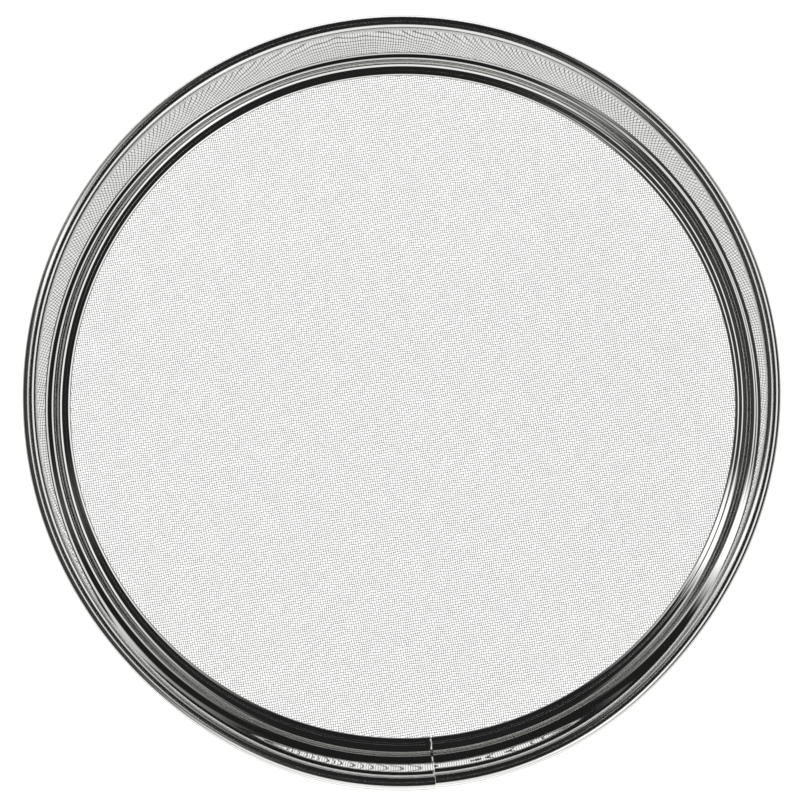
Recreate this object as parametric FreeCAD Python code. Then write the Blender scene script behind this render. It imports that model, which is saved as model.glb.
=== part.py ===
"""Stainless steel tamis: a drum sieve with a roll-formed hoop, a foot hoop and a wire cloth.

Millimetres, +Z up. The origin is on the drum's axis, on the plane that the foot hoop stands on.
The warp wires of the cloth run along Y and the weft wires along X.
"""
import FreeCAD, Part
import math
import os

# The drum: one strip of sheet, rolled round and lapped
rim_diameter = 300.0
drum_height = 60.0
sheet = 0.6
rim_roll = 5.85  # outside diameter of the rim, which is rolled outward
rim_roll_end = -60.0  # degrees from level, where the roll's edge stops
hollow_radius = 3.2  # inside bend from the wall to the shoulder
shoulder_radius = 3.5  # the shoulder curves down toward the cloth
shoulder_turn = 25.0  # degrees that it turns before the edge
edge_radius = 0.8  # the strip's edge turns down onto the cloth

# The lapped ends of the strip
seam_angle = -94.3  # degrees from +X, where the inner end of the strip stops
seam_gap = 0.4
lap_length = 12.0
lap_root = 6.0  # where the tongue is one with the wall
lap_clearance = 0.05
lap_margin = 0.8  # from the tongue to the foot hoop and to the rim

# The foot hoop: an angle-section ring outside the drum, with its flange under the cloth
foot_height = 16.0
foot_clearance = 0.1
foot_bend = 1.4  # outside radius of the foot's bottom corner
flange_reach = 0.3  # how far the drum's edge overhangs the flange's inner edge

# The wire cloth: two layers of straight wires, with every second wire drawn
wire = 0.2
warp_pitch = 0.92
weft_pitch = 1.015
drawn_every = 2
cloth_clearance = 0.5  # from the cloth's edge to the foot hoop
shortest_gap = 6.0  # gaps shorter than this at the ends of a layer stay shut

# Bends are drawn as flat facets, this many to a quarter turn
strip_facets = 3
foot_facets = 2

# Radii
rim_radius = rim_diameter / 2
roll_radius = rim_roll / 2
roll_axis = rim_radius - roll_radius
wall_inside = roll_axis - roll_radius
wall_outside = wall_inside + sheet
shoulder_tilt = math.radians(shoulder_turn)
shoulder_axis = wall_inside - hollow_radius
edge_axis = shoulder_axis - (shoulder_radius - edge_radius) * math.sin(shoulder_tilt)
edge_inside = edge_axis - edge_radius
foot_inside = wall_outside + foot_clearance
foot_outside = foot_inside + sheet
flange_inside = edge_inside + flange_reach
cloth_radius = foot_inside - cloth_clearance
gap_radius = edge_inside + sheet / 2  # the gaps of the cloth end under the drum's edge

# Heights
flange_top = sheet
weft_top = flange_top + wire
cloth_top = weft_top + wire
shoulder_level = cloth_top - (shoulder_radius - edge_radius) * math.cos(shoulder_tilt)
wall_bottom = shoulder_level + shoulder_radius + hollow_radius
wall_top = drum_height - roll_radius

axis_foot = FreeCAD.Vector(0, 0, 0)
axis = FreeCAD.Vector(0, 0, 1)


def bend(centre, radius, start, end, facets):
    """Points of a section round a bend, between two angles in degrees from +X."""
    count = math.ceil(abs(end - start) / 90 * facets)
    turns = [math.radians(start + (end - start) * index / count) for index in range(count + 1)]
    return [(centre[0] + radius * math.cos(turn), centre[1] + radius * math.sin(turn)) for turn in turns]


def swing(section, start, sweep):
    """Turns a section of (radius, height) points about the drum's axis, with angles in degrees."""
    corners = [FreeCAD.Vector(radius, 0, height) for radius, height in section + section[:1]]
    face = Part.Face(Part.makePolygon(corners))
    face.rotate(axis_foot, axis, start)
    return face.revolve(axis_foot, axis, sweep)


def degrees_along(length):
    return math.degrees(length / wall_outside)


def band(inside, outside, low, high):
    return [(inside, low), (outside, low), (outside, high), (inside, high)]


def strip_section():
    """One sheet thick: up the inner face of edge, shoulder, wall and rim, and back down the outer face."""
    edge_centre = (edge_axis, cloth_top)
    shoulder_centre = (shoulder_axis, shoulder_level)
    hollow_centre = (shoulder_axis, wall_bottom)
    roll_centre = (roll_axis, wall_top)
    edge_end = 90 + shoulder_turn
    inner = bend(edge_centre, edge_radius, 180, edge_end, strip_facets)
    inner += bend(shoulder_centre, shoulder_radius, edge_end, 90, strip_facets)[1:]
    inner += bend(hollow_centre, hollow_radius, 270, 360, strip_facets)[1:]
    inner += bend(roll_centre, roll_radius, 180, rim_roll_end, strip_facets)
    outer = bend(roll_centre, roll_radius - sheet, rim_roll_end, 180, strip_facets)
    outer += bend(hollow_centre, hollow_radius + sheet, 360, 270, strip_facets)
    outer += bend(shoulder_centre, shoulder_radius - sheet, 90, edge_end, strip_facets)[1:]
    outer += bend(edge_centre, edge_radius - sheet, edge_end, 180, strip_facets)[1:]
    return inner + outer


def lap_tongue(gap_sweep):
    """The strip's outer end, which steps out and passes behind its inner end."""
    low = foot_height + lap_margin
    high = drum_height - rim_roll - lap_margin
    tongue_inside = wall_outside + lap_clearance
    tongue_outside = tongue_inside + sheet
    root_sweep = degrees_along(lap_root)
    lap_sweep = degrees_along(lap_length)
    start = seam_angle - gap_sweep - root_sweep
    root = swing(band(wall_outside - sheet / 2, tongue_outside, low, high), start, root_sweep)
    lap = swing(band(tongue_inside, tongue_outside, low, high), start, root_sweep + gap_sweep + lap_sweep)
    return root.fuse(lap)


def drum_hoop():
    gap_sweep = degrees_along(seam_gap)
    strip = swing(strip_section(), seam_angle, 360 - gap_sweep)
    return strip.fuse(lap_tongue(gap_sweep)).removeSplitter()


def foot_hoop():
    """A band round the drum's lower end and a flange under the cloth, with one bend between them."""
    centre = (foot_outside - foot_bend, foot_bend)
    section = [(flange_inside, flange_top), (flange_inside, 0)]
    section += bend(centre, foot_bend, 270, 360, foot_facets)
    section += [(foot_outside, foot_height), (foot_inside, foot_height)]
    section += bend(centre, foot_bend - sheet, 360, 270, foot_facets)
    return swing(section, 0, 360)


def wire_layer(pitch, bottom):
    """Wires along X at one height, joined by the margin that is pressed between drum and foot hoop."""
    margin = Part.Wire(Part.makeCircle(cloth_radius, FreeCAD.Vector(0, 0, bottom), axis))
    step = pitch * drawn_every
    count = math.floor(2 * gap_radius / step)
    gaps = []
    for index in range(count):
        middle = (index - (count - 1) / 2) * step
        low = middle - (step - wire) / 2
        high = middle + (step - wire) / 2
        widest = max(abs(low), abs(high))
        if widest > gap_radius:
            continue
        reach = math.sqrt(gap_radius * gap_radius - widest * widest)
        if reach > shortest_gap / 2:
            corners = [(-reach, low), (-reach, high), (reach, high), (reach, low), (-reach, low)]
            gaps.append(Part.makePolygon([FreeCAD.Vector(x, y, bottom) for x, y in corners]))
    return Part.Face([margin] + gaps).extrude(FreeCAD.Vector(0, 0, wire))


def mesh_weft():
    return wire_layer(weft_pitch, flange_top)


def mesh_warp():
    layer = wire_layer(warp_pitch, weft_top)
    layer.rotate(axis_foot, axis, 90)
    return layer


def main():
    os.makedirs("parts", exist_ok=True)
    for piece in (drum_hoop, foot_hoop, mesh_weft, mesh_warp):
        shape = piece()
        shape.exportStep(f"parts/{piece.__name__}.step")
        print(piece.__name__, len(shape.Solids), "solid", round(shape.Volume, 1), "mm3")


main()
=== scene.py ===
import bpy
import math
import numpy as np
from mathutils import Matrix, Vector


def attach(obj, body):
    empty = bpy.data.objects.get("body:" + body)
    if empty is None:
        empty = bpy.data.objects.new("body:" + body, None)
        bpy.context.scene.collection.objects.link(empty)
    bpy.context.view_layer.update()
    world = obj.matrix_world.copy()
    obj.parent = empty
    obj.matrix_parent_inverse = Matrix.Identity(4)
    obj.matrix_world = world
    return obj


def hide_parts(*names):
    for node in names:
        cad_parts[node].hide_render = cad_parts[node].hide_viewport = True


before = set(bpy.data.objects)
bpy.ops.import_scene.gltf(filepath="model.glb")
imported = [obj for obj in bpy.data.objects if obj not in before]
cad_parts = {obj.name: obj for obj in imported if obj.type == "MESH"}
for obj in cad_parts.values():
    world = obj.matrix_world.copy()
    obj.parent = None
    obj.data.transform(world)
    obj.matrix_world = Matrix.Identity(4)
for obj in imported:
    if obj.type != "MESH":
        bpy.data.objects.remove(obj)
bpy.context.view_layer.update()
mm = 0.001


def linearFrom(hexColour):
    channels = [int(hexColour[i:i + 2], 16) / 255 for i in (1, 3, 5)]
    return [c / 12.92 if c <= 0.04045 else ((c + 0.055) / 1.055) ** 2.4 for c in channels] + [1.0]


def addNode(tree, kind, inputs=(), **settings):
    node = tree.nodes.new(kind)
    for name, value in settings.items():
        setattr(node, name, value)
    for socket, value in dict(inputs).items():
        if isinstance(value, bpy.types.NodeSocket):
            tree.links.new(value, node.inputs[socket])
        else:
            node.inputs[socket].default_value = value
    return node


def newMaterial(name):
    material = bpy.data.materials.new(name)
    material.use_nodes = True
    material.node_tree.nodes.clear()
    return material, material.node_tree


sheetLook = {
    "hazeEvery": 35.0,        # mm from one hazy place to the next
    "noiseLow": 0.3,          # most of the noise lies between these two
    "noiseHigh": 0.7,
    "grey": "#d2d2d0",
    "bright": "#dededc",
    "clearRough": 0.01,
    "hazyRough": 0.03,
    "handledRough": 0.14,     # what hands add to the rim
    "handledFrom": 55.0,      # none of it up to this height in mm, and all of it from the next
    "handledTo": 58.0,
}


# Mirror-polished stainless sheet: buffed until it reflects like glass, a little softer than chrome,
# with a faint haze of buffing that comes and goes over a few centimetres,
# and a duller rim where hands hold it
def polishedSheet(look):
    material, tree = newMaterial("mirrorPolishedStainlessSheet")
    place = addNode(tree, "ShaderNodeTexCoord").outputs["Object"]
    haze = addNode(tree, "ShaderNodeTexNoise", {
        "Vector": place, "Scale": 1 / (look["hazeEvery"] * mm), "Detail": 2.0}).outputs["Fac"]
    buffed = addNode(tree, "ShaderNodeMapRange", {
        "Value": haze, "From Min": look["noiseLow"], "From Max": look["noiseHigh"],
        "To Min": look["clearRough"], "To Max": look["hazyRough"]}).outputs["Result"]
    height = addNode(tree, "ShaderNodeSeparateXYZ", {"Vector": place}).outputs["Z"]
    handled = addNode(tree, "ShaderNodeMapRange", {
        "Value": height, "From Min": look["handledFrom"] * mm, "From Max": look["handledTo"] * mm,
        "To Min": 0.0, "To Max": look["handledRough"]}).outputs["Result"]
    rough = addNode(tree, "ShaderNodeMath", {0: buffed, 1: handled}, operation="ADD").outputs[0]
    # a colour mix has its two colours on sockets 6 and 7, and its result on output 2
    tone = addNode(tree, "ShaderNodeMix", {
        0: haze, 6: linearFrom(look["grey"]), 7: linearFrom(look["bright"])}, data_type="RGBA").outputs[2]
    shader = addNode(tree, "ShaderNodeBsdfPrincipled", {
        "Base Color": tone, "Roughness": rough, "Metallic": 1.0})
    addNode(tree, "ShaderNodeOutputMaterial", {"Surface": shader.outputs["BSDF"]})
    return material


wireLook = {
    "greyEvery": 12.0,        # mm from one greyer place to the next
    "noiseLow": 0.35,
    "noiseHigh": 0.65,
    "grey": "#a8a8a6",
    "bright": "#c6c6c4",
    "greyRough": 0.3,
    "brightRough": 0.2,
}


# Bright drawn stainless wire: smooth from the die, with a soft sheen instead of a clear reflection,
# a little greyer and duller in some places
def drawnWire(look):
    material, tree = newMaterial("brightDrawnStainlessWire")
    place = addNode(tree, "ShaderNodeTexCoord").outputs["Object"]
    drawn = addNode(tree, "ShaderNodeTexNoise", {
        "Vector": place, "Scale": 1 / (look["greyEvery"] * mm), "Detail": 3.0}).outputs["Fac"]
    bright = addNode(tree, "ShaderNodeMapRange", {
        "Value": drawn, "From Min": look["noiseLow"], "From Max": look["noiseHigh"]}).outputs["Result"]
    tone = addNode(tree, "ShaderNodeMix", {
        0: bright, 6: linearFrom(look["grey"]), 7: linearFrom(look["bright"])}, data_type="RGBA").outputs[2]
    rough = addNode(tree, "ShaderNodeMapRange", {
        "Value": bright, "To Min": look["greyRough"], "To Max": look["brightRough"]}).outputs["Result"]
    shader = addNode(tree, "ShaderNodeBsdfPrincipled", {
        "Base Color": tone, "Roughness": rough, "Metallic": 1.0})
    addNode(tree, "ShaderNodeOutputMaterial", {"Surface": shader.outputs["BSDF"]})
    return material


sheetFinish = polishedSheet(sheetLook)
wireFinish = drawnWire(wireLook)
print("materials made")


def meshPiece(name, points, faces, material, sharpDegrees=40):
    mesh = bpy.data.meshes.new(name)
    mesh.from_pydata([tuple(p) for p in points], [], faces)
    mesh.materials.append(material)
    mesh.shade_smooth()
    mesh.set_sharp_from_angle(angle=math.radians(sharpDegrees))
    piece = bpy.data.objects.new(name, mesh)
    bpy.context.scene.collection.objects.link(piece)
    return piece


# A bent sheet is walked along its middle: each stop is radius, height and the way its shown face looks
def straight(start, end, look, shares):
    walk = []
    for share in shares:
        radius = start[0] + (end[0] - start[0]) * share
        height = start[1] + (end[1] - start[1]) * share
        walk.append((radius, height, look[0], look[1]))
    return walk


def bend(centre, radius, fromDeg, toDeg, side, steps):
    walk = []
    for i in range(steps + 1):
        turn = math.radians(fromDeg + (toDeg - fromDeg) * i / steps)
        out = math.cos(turn)
        up = math.sin(turn)
        walk.append((centre[0] + radius * out, centre[1] + radius * up, side * out, side * up))
    return walk


def bothFaces(walk, sheet):
    w = np.array(walk)
    shown = w[:, :2] + w[:, 2:] * sheet / 2
    hidden = w[:, :2] - w[:, 2:] * sheet / 2
    return shown, hidden


# sizes in millimetres, the solids' but for the shoulder, which turns a little further;
# directions are degrees clockwise from the top of the photograph
hoop = {
    "rimRadius": 150.0,
    "height": 60.0,
    "sheet": 0.6,
    "rollRadius": 2.925,
    "rollEndDeg": -60.0,
    "rollSteps": 30,
    "wallShares": [0.004, 0.02, *np.linspace(0.05, 0.95, 17), 0.98, 0.996],
    "hollowRadius": 3.2,
    "hollowSteps": 12,
    "shoulderRadius": 3.2,
    "shoulderTurnDeg": 36.0,
    "shoulderSteps": 8,
    "edgeRadius": 0.8,
    "edgeSteps": 6,
    "clothTop": 1.0,
    "topDeg": 80.7,           # where the top of the photograph lies, from +X
    "stepsRound": 610,
    # the lapped ends
    "seam": 175.0,
    "seamGap": 0.06,
    "seamStep": 0.5,          # how far the inner end's rim lies inside the outer end's
    "seamFade": 30.0,
    "joggle": 0.4,            # how far the outer end's shoulder sinks where it goes in behind the inner end
    "joggleDeg": 0.6,
    "joggleSteps": 10,
    "joggleLow": 6.0,         # up to this height it sinks by all of that, and above the next not at all
    "joggleHigh": 12.0,
    "lapLength": 12.0,
    "lapRoot": 6.0,
    "lapLow": 16.8,
    "lapHigh": 53.35,
    "lapClearance": 0.05,
    "lapSteps": 17,
    # the thin sheet is not quite round, most of all near the seam:
    # how far the rim and the foot of the wall stand out in each direction
    "rimOut": {0: 1.4, 45: 0.95, 60: 0.5, 90: -0.1, 105: -0.4, 120: 0.0, 135: 1.5, 150: 4.3, 165: 5.9,
               180: 6.6, 195: 6.0, 210: 3.6, 225: 1.8, 240: 0.7, 270: -0.1, 315: 0.9},
    "footOut": {0: 0.0, 95: 0.0, 110: 0.1, 120: 0.3, 135: 0.6, 150: 0.95, 165: 1.1, 180: 1.4, 195: 1.4,
                210: 1.1, 230: 0.5, 250: 0.2, 270: 0.0},
    "outBlend": 15.0,         # degrees over which the steps of these tables are rounded
    "blendSteps": 31,
    "outFrom": 140.0,         # up to this radius the shoulder stays round; from the next it follows the foot
    "outTo": 143.0,
    "shoulderTop": 2.2,
    "springShare": 0.17,      # what part of the rim's bow starts at the shoulder; the rest starts slowly
}


def hoopWalk(h):
    half = h["sheet"] / 2
    rollAt = (h["rimRadius"] - h["rollRadius"], h["height"] - h["rollRadius"])
    wallIn = rollAt[0] - h["rollRadius"]
    wallMiddle = wallIn + half
    edgeEnd = 90 + h["shoulderTurnDeg"]
    drop = h["shoulderRadius"] - h["edgeRadius"]
    tilt = math.radians(h["shoulderTurnDeg"])
    shoulderX = wallIn - h["hollowRadius"]
    edgeAt = (shoulderX - drop * math.sin(tilt), h["clothTop"])
    shoulderAt = (shoulderX, h["clothTop"] - drop * math.cos(tilt))
    hollowAt = (shoulderX, shoulderAt[1] + h["shoulderRadius"] + h["hollowRadius"])
    walk = bend(edgeAt, h["edgeRadius"] - half, 180, edgeEnd, 1, h["edgeSteps"])
    walk += bend(shoulderAt, h["shoulderRadius"] - half, edgeEnd, 90, 1, h["shoulderSteps"])[1:]
    walk += bend(hollowAt, h["hollowRadius"] + half, 270, 360, -1, h["hollowSteps"])[1:]
    walk += straight((wallMiddle, hollowAt[1]), (wallMiddle, rollAt[1]), (-1, 0), h["wallShares"])
    walk += bend(rollAt, h["rollRadius"] - half, 180, h["rollEndDeg"], 1, h["rollSteps"])
    return walk, wallIn


# how far the drum stands out at each direction, without corners
def outAt(h, table, directions):
    known = sorted(h[table])
    outs = [h[table][direction] for direction in known]
    shifts = np.linspace(-h["outBlend"], h["outBlend"], h["blendSteps"])
    bow = [np.interp(directions + shift, known, outs, period=360) for shift in shifts]
    return np.average(bow, axis=0, weights=np.cos(shifts / h["outBlend"] * math.pi / 2) ** 2)


# turns a closed section round the axis through the directions, standing out with the drum
def sweepSection(h, section, directions, inward, whole=False):
    azimuth = np.radians(h["topDeg"] - directions)[:, None]
    section = np.broadcast_to(section, (len(directions),) + section.shape[-2:])
    low = np.clip((section[:, :, 0] - h["outFrom"]) / (h["outTo"] - h["outFrom"]), 0, 1)
    # the wall leans out from the shoulder, and is upright again where the rim stiffens it
    climb = np.clip((section[:, :, 1] - h["shoulderTop"]) / (h["height"] - h["shoulderTop"]), 0, 1)
    sprung = np.sin(climb * math.pi / 2)
    eased = climb ** 2 * (3 - 2 * climb)
    high = h["springShare"] * sprung + (1 - h["springShare"]) * eased
    footOut = outAt(h, "footOut", directions)[:, None]
    rimOut = (outAt(h, "rimOut", directions) - inward)[:, None]
    radius = section[:, :, 0] + footOut * low + (rimOut - footOut) * high
    points = np.stack([radius * np.cos(azimuth), radius * np.sin(azimuth), section[:, :, 1]], axis=2)
    around = section.shape[1]
    rings = len(directions)
    faces = []
    for i in range(rings if whole else rings - 1):
        j = (i + 1) % rings
        for k in range(around):
            n = (k + 1) % around
            faces.append((i * around + k, j * around + k, j * around + n, i * around + n))
    if not whole:
        # both ends are closed by faces from one side of the sheet to the other
        last = (rings - 1) * around
        for k in range(around // 2 - 1):
            back = around - 1 - k
            faces.append((k, k + 1, back - 1, back))
            faces.append((last + k, last + back, last + back - 1, last + k + 1))
    return points.reshape(-1, 3) * mm, faces


# the end of the strip that lies outside goes on behind the other as a tongue
def lapTongue(h, wallIn):
    inner = wallIn + h["sheet"] + h["lapClearance"]
    outer = inner + h["sheet"]
    low = h["lapLow"]
    high = h["lapHigh"]
    section = np.array([(outer, low), (outer, high), (inner, high), (inner, low)])
    first, last = np.degrees(np.array([-h["lapRoot"], h["lapLength"]]) / inner)
    directions = h["seam"] - np.linspace(first, last, h["lapSteps"])
    return sweepSection(h, section, directions, np.zeros(h["lapSteps"]))


def buildHoop(h):
    walk, wallIn = hoopWalk(h)
    shown, hidden = bothFaces(walk, h["sheet"])
    end = 360 - math.degrees(h["seamGap"] / wallIn)
    evenTurns = np.linspace(0, end - h["joggleDeg"], h["stepsRound"])
    lastTurns = end - h["joggleDeg"] * np.arange(h["joggleSteps"])[::-1] / h["joggleSteps"]
    turns = np.append(evenTurns, lastTurns)
    # the end that lies inside is on the right of the seam, where the directions grow smaller
    inward = h["seamStep"] * np.clip(1 - turns / h["seamFade"], 0, 1) ** 2
    section = np.vstack([hidden, shown[::-1]])
    looks = np.array(walk + walk[::-1])[:, 2:]
    sink = h["joggle"] * np.clip((turns - end) / h["joggleDeg"] + 1, 0, 1) ** 2
    sunk = np.clip((h["joggleHigh"] - section[:, 1]) / (h["joggleHigh"] - h["joggleLow"]), 0, 1)
    section = section - sink[:, None, None] * (looks * sunk[:, None])
    points, faces = sweepSection(h, section, h["seam"] - turns, inward)
    tonguePoints, tongueFaces = lapTongue(h, wallIn)
    shift = len(points)
    faces += [tuple(i + shift for i in face) for face in tongueFaces]
    return np.vstack([points, tonguePoints]), faces


hoopPoints, hoopFaces = buildHoop(hoop)
drumHoop = meshPiece("drumHoop", hoopPoints, hoopFaces, sheetFinish)
print("drum hoop", len(hoopFaces), "faces")

foot = {
    "flangeIn": 139.3,
    "flangeShares": (0, 0.05, 0.5, 0.95),
    "bandIn": 144.85,
    "bandShares": (0.03, 0.3, 0.7, 0.97, 1),
    "height": 16.0,
    "sheet": 0.6,
    "bendRadius": 1.4,
    "bendSteps": 8,
    "stepsRound": 360,
}


def buildFoot(f):
    half = f["sheet"] / 2
    out = f["bandIn"] + f["sheet"]
    centre = (out - f["bendRadius"], f["bendRadius"])
    walk = straight((f["flangeIn"], half), (centre[0], half), (0, -1), f["flangeShares"])
    walk += bend(centre, f["bendRadius"] - half, 270, 360, 1, f["bendSteps"])
    walk += straight((out - half, f["bendRadius"]), (out - half, f["height"]), (1, 0), f["bandShares"])
    shown, hidden = bothFaces(walk, f["sheet"])
    # it follows the drum, which it fits round
    turns = np.arange(f["stepsRound"]) * 360 / f["stepsRound"]
    return sweepSection(hoop, np.vstack([shown, hidden[::-1]]), -turns, np.zeros(f["stepsRound"]), True)


footPoints, footFaces = buildFoot(foot)
footHoop = meshPiece("footHoop", footPoints, footFaces, sheetFinish)
print("foot hoop", len(footFaces), "faces")

# plain weave: each wire goes over one crossing wire and under the next
cloth = {
    "warpPitch": 0.92,
    "weftPitch": 1.015,
    "wire": 0.2,
    "middle": 0.8,            # height of the cloth's middle
    "radius": 143.5,          # the wires end between the drum and the flange
    "wander": 1.2,            # the loom leaves the wires uneven by about a fifth of this
    "wanderEvery": 6.0,
    "sides": 4,
    "panels": 4,              # each set of wires is made in this many strips
}


def weaveTree(name):
    tree = bpy.data.node_groups.new(name, "GeometryNodeTree")
    tree.interface.new_socket("Geometry", in_out="OUTPUT", socket_type="NodeSocketGeometry")
    sockets = {
        "Int": ("Wires", "Crossings", "Sides"),
        "Float": ("Width", "Length", "Wire Pitch", "Crossing Pitch", "Rise", "Wander", "Wander Scale",
                  "Wire Radius", "Cloth Radius"),
        "Vector": ("Place", "Turn"),
        "Material": ("Finish",),
    }
    for kind, labels in sockets.items():
        for label in labels:
            tree.interface.new_socket(label, in_out="INPUT", socket_type="NodeSocket" + kind)
    given = addNode(tree, "NodeGroupInput").outputs
    # one point for each crossing: wires stand side by side along x, and run along y
    grid = addNode(tree, "GeometryNodeMeshGrid", {
        "Vertices X": given["Wires"], "Vertices Y": given["Crossings"],
        "Size X": given["Width"], "Size Y": given["Length"]})
    placed = addNode(tree, "GeometryNodeTransform", {
        "Geometry": grid.outputs["Mesh"], "Translation": given["Place"]})
    spot = addNode(tree, "GeometryNodeInputPosition").outputs[0]
    where = addNode(tree, "ShaderNodeSeparateXYZ", {"Vector": spot}).outputs
    wireNumber = addNode(tree, "ShaderNodeMath", {
        0: where["X"], 1: given["Wire Pitch"]}, operation="DIVIDE").outputs[0]
    crossNumber = addNode(tree, "ShaderNodeMath", {
        0: where["Y"], 1: given["Crossing Pitch"]}, operation="DIVIDE").outputs[0]
    # over and under by turns: the product of two cosines is 1 or -1 at the crossings
    both = []
    for number in (wireNumber, crossNumber):
        halfTurns = addNode(tree, "ShaderNodeMath", {0: number, 1: math.pi}, operation="MULTIPLY").outputs[0]
        both.append(addNode(tree, "ShaderNodeMath", {0: halfTurns}, operation="COSINE").outputs[0])
    side = addNode(tree, "ShaderNodeMath", {0: both[0], 1: both[1]}, operation="MULTIPLY").outputs[0]
    rise = addNode(tree, "ShaderNodeMath", {0: side, 1: given["Rise"]}, operation="MULTIPLY").outputs[0]
    uneven = addNode(tree, "ShaderNodeTexNoise", {
        "Vector": spot, "Scale": given["Wander Scale"], "Detail": 1.0}).outputs["Fac"]
    centred = addNode(tree, "ShaderNodeMath", {0: uneven, 1: 0.5}, operation="SUBTRACT").outputs[0]
    aside = addNode(tree, "ShaderNodeMath", {0: centred, 1: given["Wander"]}, operation="MULTIPLY").outputs[0]
    step = addNode(tree, "ShaderNodeCombineXYZ", {"X": aside, "Z": rise}).outputs[0]
    crimped = addNode(tree, "GeometryNodeSetPosition", {"Geometry": placed.outputs[0], "Offset": step})
    reach = addNode(tree, "ShaderNodeVectorMath", {0: spot}, operation="LENGTH").outputs["Value"]
    beyond = addNode(tree, "FunctionNodeCompare", {
        0: reach, 1: given["Cloth Radius"]}, data_type="FLOAT", operation="GREATER_THAN").outputs[0]
    dots = addNode(tree, "GeometryNodeMeshToPoints", {"Mesh": crimped.outputs[0]})
    kept = addNode(tree, "GeometryNodeDeleteGeometry", {
        "Geometry": dots.outputs[0], "Selection": beyond}, domain="POINT")
    row = addNode(tree, "ShaderNodeMath", {0: wireNumber}, operation="ROUND").outputs[0]
    lines = addNode(tree, "GeometryNodePointsToCurves", {
        "Points": kept.outputs[0], "Curve Group ID": row, "Weight": where["Y"]})
    ring = addNode(tree, "GeometryNodeCurvePrimitiveCircle", {
        "Resolution": given["Sides"], "Radius": given["Wire Radius"]})
    tubes = addNode(tree, "GeometryNodeCurveToMesh", {
        "Curve": lines.outputs[0], "Profile Curve": ring.outputs[0], "Fill Caps": True})
    turned = addNode(tree, "GeometryNodeTransform", {"Geometry": tubes.outputs[0], "Rotation": given["Turn"]})
    smooth = addNode(tree, "GeometryNodeSetShadeSmooth", {"Geometry": turned.outputs[0]})
    real = addNode(tree, "GeometryNodeRealizeInstances", {"Geometry": smooth.outputs[0]})
    finished = addNode(tree, "GeometryNodeSetMaterial", {
        "Geometry": real.outputs[0], "Material": given["Finish"]})
    addNode(tree, "NodeGroupOutput", {"Geometry": finished.outputs[0]})
    return tree


def weave(tree, name, values):
    carrier = bpy.data.objects.new(name + "Nodes", bpy.data.meshes.new(name + "Nodes"))
    bpy.context.scene.collection.objects.link(carrier)
    nodes = carrier.modifiers.new("weave", "NODES")
    nodes.node_group = tree
    sockets = {item.name: item.identifier for item in tree.interface.items_tree if item.in_out == "INPUT"}
    for label, value in values.items():
        nodes[sockets[label]] = value
    bpy.context.view_layer.update()
    evaluated = carrier.evaluated_get(bpy.context.evaluated_depsgraph_get())
    mesh = bpy.data.meshes.new_from_object(evaluated)
    mesh.name = name
    piece = bpy.data.objects.new(name, mesh)
    bpy.context.scene.collection.objects.link(piece)
    carrier.modifiers.remove(nodes)
    bpy.data.objects.remove(carrier)
    return piece


def buildCloth(c):
    tree = weaveTree("plainWeave")
    pieces = []
    for name, pitch, crossPitch, rise, turn in (
            ("warpWires", c["warpPitch"], c["weftPitch"], 1, 0),
            ("weftWires", c["weftPitch"], c["warpPitch"], -1, math.pi / 2)):
        half = int(c["radius"] / pitch)
        crossings = int(c["radius"] / crossPitch)
        # strips of about equal area, so that each has about as many faces
        places = np.arange(-half, half + 1) * pitch
        lengths = np.cumsum(np.sqrt(c["radius"] ** 2 - places ** 2))
        cuts = [lengths[-1] * k / c["panels"] for k in range(1, c["panels"])]
        inner = [int(np.searchsorted(lengths, cut)) - half for cut in cuts]
        for panel, (first, stop) in enumerate(zip([-half] + inner, inner + [half + 1])):
            pieces.append(weave(tree, f"{name}{panel + 1}", {
                "Wires": stop - first,
                "Crossings": 2 * crossings + 1,
                "Width": (stop - first - 1) * pitch * mm,
                "Length": 2 * crossings * crossPitch * mm,
                "Place": ((first + stop - 1) / 2 * pitch * mm, 0.0, c["middle"] * mm),
                "Wire Pitch": pitch * mm,
                "Crossing Pitch": crossPitch * mm,
                "Rise": rise * c["wire"] / 2 * mm,
                "Wander": c["wander"] * mm,
                "Wander Scale": 1 / (c["wanderEvery"] * mm),
                "Wire Radius": c["wire"] / 2 * mm,
                "Cloth Radius": c["radius"] * mm,
                "Turn": (0.0, 0.0, turn),
                "Sides": c["sides"],
                "Finish": wireFinish,
            }))
    return pieces


wirePieces = buildCloth(cloth)
for piece in wirePieces:
    print(piece.name, len(piece.data.polygons), "faces")

for piece, slot in ((drumHoop, "polished_hoop"), (footHoop, "polished_hoop")):
    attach(piece, "root")
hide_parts("drum_hoop")
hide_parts("foot_hoop")
for piece in wirePieces:
    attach(piece, "root")
    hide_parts("mesh_warp" if piece.name.startswith("warp") else "mesh_weft")

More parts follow.
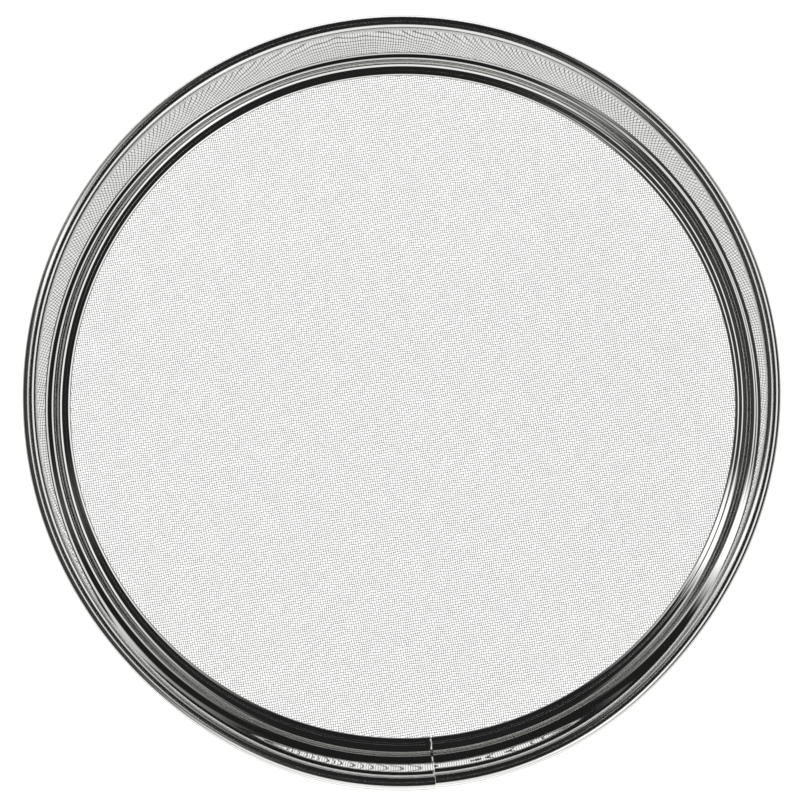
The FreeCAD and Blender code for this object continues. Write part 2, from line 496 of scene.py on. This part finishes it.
# The drum stands on a strip of white paper on a light table, in a dark room. The paper runs up behind the
# camera as a sweep. A softbox lights it from the right and a smaller light from above the left, and a tall
# window stands beyond the left. Sizes are in metres, and directions are counted as the hoop's are.
studio = {
    "tableSize": 12.0,
    "tableDrop": 0.001,
    "tableLight": 1.155,
    "backdropHigh": 6.0,
    "backdropSides": 48,
    "paperWide": 0.6,
    "paperDrop": 0.0004,
    "paperFade": 0.2,         # from here to its edge the paper's glow is painted darker, a painted falloff of light
    "paperLight": 1.06,
    "shadeFrom": 0.1445,      # painted shade round the drum in the paper's glow, by the distance from its axis
    "shadeTo": 0.28,
    "shadeLeft": 0.35,        # shares of the light under the drum
    "shadeNone": 1.45,
    "ceiling": 0.02,
    "poleAside": 0.082,
    # patches of light in the room, by the direction and the elevations that they fill
    "patches": {
        "sweep": {"light": 1.2, "toward": 176, "wide": 78, "fade": 24, "low": 0, "high": 42, "soft": 8},
        "floor": {"light": 0.08, "toward": 0, "wide": 400, "fade": 10, "low": -100, "high": -1, "soft": 4},
        "backWall": {"light": 1.0, "toward": 0, "wide": 140, "fade": 16, "low": -2, "high": 5, "soft": 2},
        "softbox": {"light": 1.3, "toward": 95, "wide": 106, "fade": 44, "low": 24, "high": 49, "soft": 10},
        "leftLight": {"light": 1.3, "toward": 252, "wide": 72, "fade": 30, "low": 58, "high": 72, "soft": 8},
        "leftWall": {"light": 0.04, "toward": 250, "wide": 90, "fade": 30, "low": 10, "high": 86, "soft": 8},
        "doorway": {"light": 0.1, "toward": 72, "wide": 8, "fade": 16, "low": 44, "high": 84, "soft": 8},
        "window": {"light": 1.8, "toward": 292, "wide": 14, "fade": 12, "low": 38, "high": 85, "soft": 8},
        "windowWall": {"light": 1.0, "toward": 306, "wide": 16, "fade": 30, "low": 22, "high": 48, "soft": 12},
    },
}


def stagePiece(name, points, faces, material):
    mesh = bpy.data.meshes.new(name)
    mesh.from_pydata(points, [], faces)
    mesh.materials.append(material)
    piece = bpy.data.objects.new(name, mesh)
    bpy.context.scene.collection.objects.link(piece)
    return piece


def pictureWay(direction):
    azimuth = math.radians(hoop["topDeg"] - direction)
    return Vector((math.cos(azimuth), math.sin(azimuth), 0))


# White acrylic table, lit from below
def litTable(s):
    material, tree = newMaterial("whiteAcrylicLightTable")
    shader = addNode(tree, "ShaderNodeEmission", {
        "Color": linearFrom("#ffffff"), "Strength": s["tableLight"]})
    addNode(tree, "ShaderNodeOutputMaterial", {"Surface": shader.outputs[0]})
    return material


# White paper, lit from below: its glow is painted darker close round the drum as a painted shade,
# and painted darker toward its sides where it runs into the dark room
def litPaper(s):
    material, tree = newMaterial("whitePaperGlowWithPaintedShade")
    place = addNode(tree, "ShaderNodeTexCoord").outputs["Object"]
    across = addNode(tree, "ShaderNodeVectorMath", {0: place, 1: pictureWay(90)}, operation="DOT_PRODUCT")
    aside = addNode(tree, "ShaderNodeMath", {0: across.outputs["Value"]}, operation="ABSOLUTE").outputs[0]
    # painted falloff of light: the paper's glow dims toward its sides
    side = addNode(tree, "ShaderNodeMapRange", {
        "Value": aside, "From Min": s["paperFade"], "From Max": s["paperWide"] / 2,
        "To Min": s["paperLight"], "To Max": 0.0,
    }, interpolation_type="SMOOTHSTEP").outputs["Result"]
    # painted shade: the paper's glow is turned down close round the drum, and brighter further out
    away = addNode(tree, "ShaderNodeVectorMath", {0: place}, operation="LENGTH").outputs["Value"]
    clear = addNode(tree, "ShaderNodeMapRange", {
        "Value": away, "From Min": s["shadeFrom"], "From Max": s["shadeTo"],
        "To Min": s["shadeLeft"], "To Max": s["shadeNone"],
    }, interpolation_type="SMOOTHSTEP").outputs["Result"]
    under = addNode(tree, "ShaderNodeMath", {0: away, 1: s["shadeFrom"]}, operation="LESS_THAN").outputs[0]
    shade = addNode(tree, "ShaderNodeMath", {0: under, 1: clear}, operation="MAXIMUM").outputs[0]
    light = addNode(tree, "ShaderNodeMath", {0: side, 1: shade}, operation="MULTIPLY").outputs[0]
    shader = addNode(tree, "ShaderNodeEmission", {"Color": linearFrom("#ffffff"), "Strength": light})
    addNode(tree, "ShaderNodeOutputMaterial", {"Surface": shader.outputs[0]})
    return material


# how much light a patch gives in a direction: all of it inside its limits, and none outside
def skyPatch(tree, patch, level, elevation):
    near = addNode(tree, "ShaderNodeVectorMath", {
        0: level, 1: pictureWay(patch["toward"])}, operation="DOT_PRODUCT").outputs["Value"]
    angle = addNode(tree, "ShaderNodeMath", {0: near}, operation="ARCCOSINE").outputs[0]
    aside = addNode(tree, "ShaderNodeMath", {0: angle}, operation="DEGREES").outputs[0]
    share = patch["light"]
    for value, limit, soft, before, after in (
            (aside, patch["wide"] / 2, patch["fade"], 1, 0),
            (elevation, patch["low"], patch["soft"], 0, 1),
            (elevation, patch["high"], patch["soft"], 1, 0)):
        edge = addNode(tree, "ShaderNodeMapRange", {
            "Value": value, "From Min": limit - soft / 2, "From Max": limit + soft / 2,
            "To Min": before, "To Max": after,
        }, interpolation_type="SMOOTHSTEP").outputs["Result"]
        share = addNode(tree, "ShaderNodeMath", {0: share, 1: edge}, operation="MULTIPLY").outputs[0]
    return share


def buildSky(s):
    world = bpy.data.worlds.new("studio")
    bpy.context.scene.world = world
    world.use_nodes = True
    tree = world.node_tree
    tree.nodes.clear()
    way = addNode(tree, "ShaderNodeTexCoord").outputs["Generated"]
    # directions count round a pole that lies a little to the top of the zenith
    pole = pictureWay(0) * s["poleAside"]
    aside = addNode(tree, "ShaderNodeVectorMath", {0: way, 1: pole}, operation="SUBTRACT").outputs[0]
    flat = addNode(tree, "ShaderNodeVectorMath", {0: aside, 1: (1, 1, 0)}, operation="MULTIPLY").outputs[0]
    level = addNode(tree, "ShaderNodeVectorMath", {0: flat}, operation="NORMALIZE").outputs[0]
    height = addNode(tree, "ShaderNodeSeparateXYZ", {"Vector": way}).outputs["Z"]
    climb = addNode(tree, "ShaderNodeMath", {0: height}, operation="ARCSINE").outputs[0]
    elevation = addNode(tree, "ShaderNodeMath", {0: climb}, operation="DEGREES").outputs[0]
    total = s["ceiling"]
    for patch in s["patches"].values():
        share = skyPatch(tree, patch, level, elevation)
        total = addNode(tree, "ShaderNodeMath", {0: total, 1: share}, operation="ADD").outputs[0]
    light = addNode(tree, "ShaderNodeBackground", {"Strength": total, "Color": linearFrom("#ffffff")})
    addNode(tree, "ShaderNodeOutputWorld", {"Surface": light.outputs[0]})


def buildStudio(s):
    white = litTable(s)
    r = s["tableSize"] / 2
    down = -s["tableDrop"]
    square = [(-r, -r, down), (r, -r, down), (r, r, down), (-r, r, down)]
    table = stagePiece("table", square, [(0, 1, 2, 3)], white)
    n = s["backdropSides"]
    ring = [(r * math.cos(2 * math.pi * i / n), r * math.sin(2 * math.pi * i / n)) for i in range(n)]
    backdrop = stagePiece("backdrop", [(x, y, z) for z in (down, s["backdropHigh"]) for x, y in ring],
                          [(i, (i + 1) % n, n + (i + 1) % n, n + i) for i in range(n)], white)
    # the drum mirrors the paper and the room, not the white that the camera sees behind it
    for piece in (table, backdrop):
        piece.visible_glossy = False
    across = pictureWay(90) * s["paperWide"] / 2
    along = pictureWay(0) * r
    middle = Vector((0, 0, -s["paperDrop"]))
    ways = (-across - along, across - along, across + along, along - across)
    paper = stagePiece("paper", [tuple(middle + way) for way in ways], [(0, 1, 2, 3)], litPaper(s))
    paper.visible_camera = False
    buildSky(s)


buildStudio(studio)

# almost straight above the drum, a little toward the bottom of the photograph
shot = {
    "heightMm": 1044.0,
    "towardBottomMm": 86.0,
    "towardRightMm": 8.0,
    "aimUpMm": 1.2,
    "aimRightMm": -1.0,
    "aimHeightMm": 2.4,
    "lens": 112.7,
    "sensor": 36.0,
    "clipStart": 0.01,
    "clipEnd": 50.0,
}


def buildCamera(s):
    up = pictureWay(0)
    right = pictureWay(90)
    spot = (right * s["towardRightMm"] - up * s["towardBottomMm"] + Vector((0, 0, s["heightMm"]))) * mm
    aim = (right * s["aimRightMm"] + up * s["aimUpMm"] + Vector((0, 0, s["aimHeightMm"]))) * mm
    back = (spot - aim).normalized()
    side = up.cross(back).normalized()
    turn = Matrix((side, back.cross(side), back)).transposed().to_4x4()
    data = bpy.data.cameras.new("camera")
    data.lens = s["lens"]
    data.sensor_width = s["sensor"]
    data.clip_start = s["clipStart"]
    data.clip_end = s["clipEnd"]
    camera = bpy.data.objects.new("camera", data)
    bpy.context.scene.collection.objects.link(camera)
    camera.matrix_world = Matrix.Translation(spot) @ turn
    bpy.context.scene.camera = camera


buildCamera(shot)
bpy.context.scene.view_settings.view_transform = "Standard"
print("studio and camera set")
